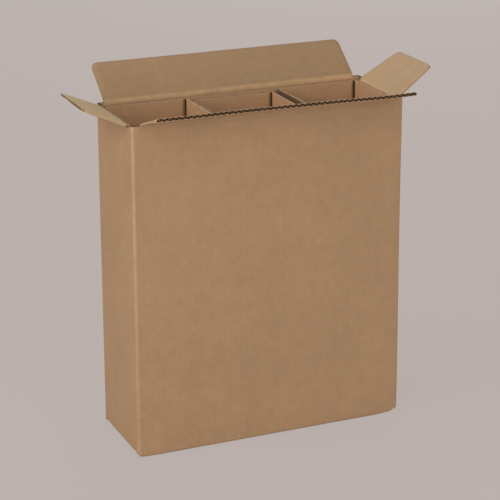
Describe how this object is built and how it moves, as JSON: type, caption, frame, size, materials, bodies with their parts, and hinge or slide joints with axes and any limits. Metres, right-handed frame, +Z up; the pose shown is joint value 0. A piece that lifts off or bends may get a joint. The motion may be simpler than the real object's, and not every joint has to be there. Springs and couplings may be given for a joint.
{
  "type": "bottle shipping box",
  "caption": "Upright kraft fluted-board shipping box for bottles, with hinged top flaps standing open and square board sleeves that make its cells.",
  "frame": {"origin": "middle of the base, on the surface that the box stands on", "axes": "+Z up, +X along the wide panels to the right of the front panel, front panel facing -Y"},
  "size_m": [0.4005, 0.1966, 0.4032],
  "materials": {
    "case_board": "matt kraft liner",
    "flap_board": "matt kraft liner with open flutes at the free edges",
    "sleeve_board": "matt kraft liner"
  },
  "bodies": {
    "case": {"case": "case_board", "left_sleeve": "sleeve_board", "middle_sleeve": "sleeve_board", "right_sleeve": "sleeve_board"},
    "front_flap": {"front_flap": "flap_board"},
    "back_flap": {"back_flap": "flap_board"},
    "left_flap": {"left_flap": "flap_board"},
    "right_flap": {"right_flap": "flap_board"}
  },
  "joints": [
    {"name": "front_fold", "type": "hinge", "parent": "case", "child": "front_flap", "pos_m": [0, -0.0525, 0.37], "axis": [-1, 0, 0], "range_deg": [-39, 161]},
    {"name": "back_fold", "type": "hinge", "parent": "case", "child": "back_flap", "pos_m": [0, 0.0525, 0.37], "axis": [1, 0, 0], "range_deg": [-58, 142]},
    {"name": "left_fold", "type": "hinge", "parent": "case", "child": "left_flap", "pos_m": [-0.154, 0, 0.3668], "axis": [0, 1, 0], "range_deg": [-44, 156]},
    {"name": "right_fold", "type": "hinge", "parent": "case", "child": "right_flap", "pos_m": [0.154, 0, 0.3668], "axis": [0, -1, 0], "range_deg": [-53, 147]}
  ]
}
